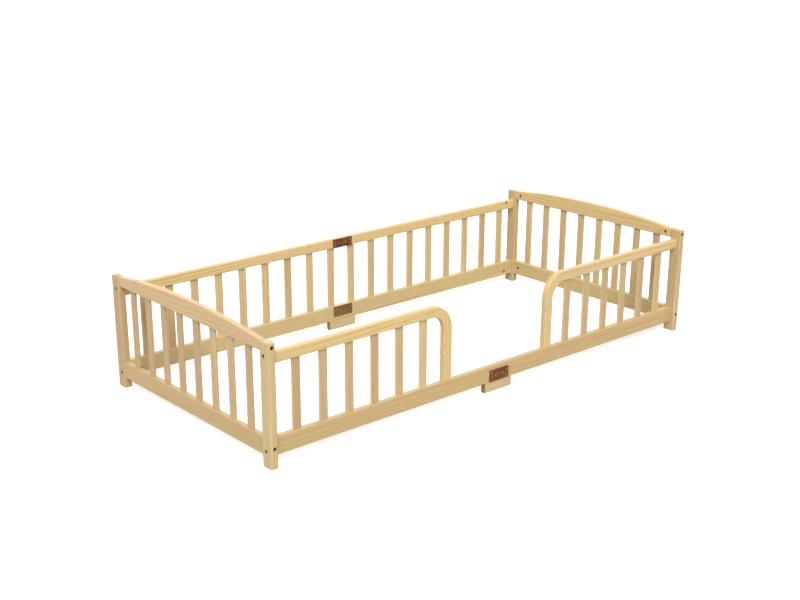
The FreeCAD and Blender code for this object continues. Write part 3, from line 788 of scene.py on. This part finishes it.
post_low, post_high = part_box("post_back_right")
rail_low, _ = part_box("back_top_rail_right")
end_low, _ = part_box("end_top_rail_right")
bolts, nuts = [], []
for end in (-1, 1):
    for side in (-1, 1):
        for height in side_bolt_heights:
            head = (end * (post_high.x - bolt_head_sink), side * side_rail_y, height)
            bolts.append(placed(bolt, head, (-end, 0, 0), spin=rng.uniform(0, 1)))
            nuts.append(placed(nut, (end * side_nut_x, side * (rail_low.y + nut_depth), height),
                               (0, side, 0)))
        for height in end_bolt_heights:
            head = (end * end_rail_x, side * (post_high.y - bolt_head_sink), height)
            bolts.append(placed(bolt, head, (0, -side, 0), spin=rng.uniform(0, 1)))
            nuts.append(placed(nut, (end * (end_low.x + nut_depth), side * end_nut_y, height),
                               (end, 0, 0)))
# Browned steel, with its colour drawn darker than the screws' as painted shade for the bores that
# the bolt heads sit in
bolt_finish_painted_shade = browned_steel("steel_bolts_browned_painted_shade", "#45301F", "#75573C")
group_of("corner_bolts_turned", "corner_bolts", bolt_finish_painted_shade, bolts)
group_of("barrel_nuts_turned", "barrel_nuts", bolt_finish_painted_shade, nuts)


# ---- Dowels -------------------------------------------------------------------------------------
# Fluted beech dowels, 6 by 30 mm, glued beside each bolt, under each upright and across each mitre.
# They keep the rails from turning, and are all hidden once the bed is together.

dowel_radius = 3 * mm
dowel_length = 30 * mm
dowel_in_post = 11 * mm
dowel_taper = 0.6 * mm
dowel_taper_length = 0.8 * mm
side_dowel_heights = (66 * mm, 287 * mm)
end_dowel_heights = (38 * mm, 317 * mm)
upright_dowel_offsets = (-8 * mm, 8 * mm)
upright_dowel_foot = 65 * mm

# Twelve flutes: the radius at angle a is that of the dowel times 0.97 + 0.03 cos 12 a
angle = np.linspace(0, 2 * math.pi, 48, endpoint=False)
flutes = dowel_radius * (0.97 + 0.03 * np.cos(12 * angle))
dowel = turned((0, 0, 0), (0, 0, 1),
               [(0, flutes - dowel_taper), (dowel_taper_length, flutes),
                (dowel_length - dowel_taper_length, flutes),
                (dowel_length, flutes - dowel_taper)], sides=48)
dowels = []
for end in (-1, 1):
    for side in (-1, 1):
        for height in side_dowel_heights:
            start = (end * (post_low.x + dowel_in_post), side * side_rail_y, height)
            dowels.append(placed(dowel, start, (-end, 0, 0)))
        for height in end_dowel_heights:
            start = (end * end_rail_x, side * (post_low.y + dowel_in_post), height)
            dowels.append(placed(dowel, start, (0, -side, 0)))
    for offset in upright_dowel_offsets:
        start = (end * (corner_x - corner_middle_radius) + offset, -side_rail_y,
                 upright_dowel_foot)
        dowels.append(placed(dowel, start, (0, 0, 1)))
    diagonal = math.sqrt(0.5)
    towards = np.array([end, 0, 1]) * diagonal
    mitre = np.array([end * (corner_x - corner_middle_radius * diagonal), -side_rail_y,
                      corner_z + corner_middle_radius * diagonal])
    dowels.append(placed(dowel, mitre - towards * dowel_length / 2, towards))


def beech(name, pale, flecked):
    """Steamed beech, turned and fluted, unfinished. The eye gets a matt pinkish tan with dark
    flecks about 1 mm across."""
    material = bpy.data.materials.new(name)
    material.use_nodes = True
    tree = material.node_tree
    shader = tree.nodes["Principled BSDF"]
    place = add(tree, "TexCoord").outputs["Object"]
    flecks = add(tree, "TexNoise", Vector=place, Scale=900.0, Detail=3.0).outputs["Fac"]
    dark = add(tree, "MapRange", Value=flecks, From_Min=0.52, From_Max=0.66).outputs["Result"]
    colours = add(tree, "Mix", {"data_type": "RGBA"}, input_0=dark, input_6=linear(pale),
                  input_7=linear(flecked)).outputs[2]
    tree.links.new(colours, shader.inputs["Base Color"])
    shader.inputs["Roughness"].default_value = 0.7
    return material


dowel_finish = beech("beech_dowels_fluted", "#D9B58C", "#B88C62")
group_of("dowels_fluted", "dowels", dowel_finish, dowels)


# ---- Studio -------------------------------------------------------------------------------------
# A pale floor that runs out to a white surround, one soft key lamp, two broad fills and an overhead
# soft box, and the camera at the photograph's viewing angle, to the front left of the bed and
# above it. Floor and surround are white to the eye alone, and light the bed as a plain studio does.

floor_half = 30
floor_glow = 0.45
surround_light = 0.42


def seen_by_eye(tree):
    """1 where a ray comes from the camera, a reflection or glass, and 0 where it carries light."""
    path = add(tree, "LightPath")
    direct = add(tree, "Math", {"operation": "MAXIMUM"}, input_0=path.outputs["Is Camera Ray"],
                 input_1=path.outputs["Is Glossy Ray"]).outputs["Value"]
    return add(tree, "Math", {"operation": "MAXIMUM"}, input_0=direct,
               input_1=path.outputs["Is Transmission Ray"]).outputs["Value"]


# White paper, matt, grey to the light so that it throws little up at the bed
white = bpy.data.materials.new("paper_floor_white")
white.use_nodes = True
tree = white.node_tree
shader = tree.nodes["Principled BSDF"]
shader.inputs["Roughness"].default_value = 0.9
seen = seen_by_eye(tree)
paper = add(tree, "Mix", {"data_type": "RGBA"}, input_0=seen, input_6=linear("#8C8C8C"),
            input_7=linear("#F2F2F2")).outputs[2]
tree.links.new(paper, shader.inputs["Base Color"])
lit = add(tree, "Math", {"operation": "MULTIPLY"}, input_0=seen,
          input_1=floor_glow).outputs["Value"]
shader.inputs["Emission Color"].default_value = (1, 1, 1, 1)
tree.links.new(lit, shader.inputs["Emission Strength"])
mesh = bpy.data.meshes.new("floor")
mesh.from_pydata([(-floor_half, -floor_half, 0), (floor_half, -floor_half, 0),
                  (floor_half, floor_half, 0), (-floor_half, floor_half, 0)], [], [(0, 1, 2, 3)])
floor = bpy.data.objects.new("floor", mesh)
floor.data.materials.append(white)
bpy.context.scene.collection.objects.link(floor)

world = bpy.data.worlds.new("white surround")
bpy.context.scene.world = world
world.use_nodes = True
tree = world.node_tree
strength = add(tree, "MapRange", Value=seen_by_eye(tree), To_Min=surround_light,
               To_Max=1.0).outputs["Result"]
tree.nodes["Background"].inputs["Color"].default_value = (1, 1, 1, 1)
tree.links.new(strength, tree.nodes["Background"].inputs["Strength"])


def lamp(name, kind, towards, place=(0, 0, 0), **settings):
    """A soft lamp that shines along a direction. A sun is the same everywhere, and its angle says
    how soft its shadows are."""
    light = bpy.data.lights.new(name, kind)
    for setting, value in settings.items():
        setattr(light, setting, value)
    stand = bpy.data.objects.new(name, light)
    bpy.context.scene.collection.objects.link(stand)
    stand.location = place
    stand.rotation_mode = "QUATERNION"
    stand.rotation_quaternion = Vector(towards).to_track_quat("-Z", "Y")


lamp("overhead soft box", "AREA", (0.2, 0.3, -3.0), place=(-0.2, -0.3, 3.2), size=2.6, energy=5)
lamp("key", "SUN", (0.453, 0.541, -0.709), energy=2.5, angle=math.radians(20))
lamp("fill from the front", "SUN", (0.65, 0.75, -0.13), energy=1.05, angle=math.radians(110))
lamp("fill from behind", "SUN", (-0.66, -0.72, -0.2), energy=1.35, angle=math.radians(80))

# Solved from the bed's straight edges in the photograph: metres, radians, and a 36 mm sensor
camera_place = (-2.49715, -2.76331, 1.39939)
yaw, pitch, roll = 0.6980, 0.3437, -0.0029
forward = np.array([math.sin(yaw) * math.cos(pitch), math.cos(yaw) * math.cos(pitch),
                    -math.sin(pitch)])
level = np.array([math.cos(yaw), -math.sin(yaw), 0])
above = np.cross(level, forward)
right = math.cos(roll) * level + math.sin(roll) * above
up = math.cos(roll) * above - math.sin(roll) * level
placement = np.eye(4)
placement[:3] = np.stack([right, up, -forward, camera_place], 1)
camera_data = bpy.data.cameras.new("camera")
camera_data.sensor_width = 36
camera_data.lens = 57.092
camera_data.shift_x = 0.03783
camera_data.shift_y = 0.04414
camera_data.clip_end = 100
camera = bpy.data.objects.new("camera", camera_data)
camera.matrix_world = Matrix(placement.tolist())
bpy.context.scene.collection.objects.link(camera)
bpy.context.scene.camera = camera

bpy.context.scene.view_settings.view_transform = "Standard"
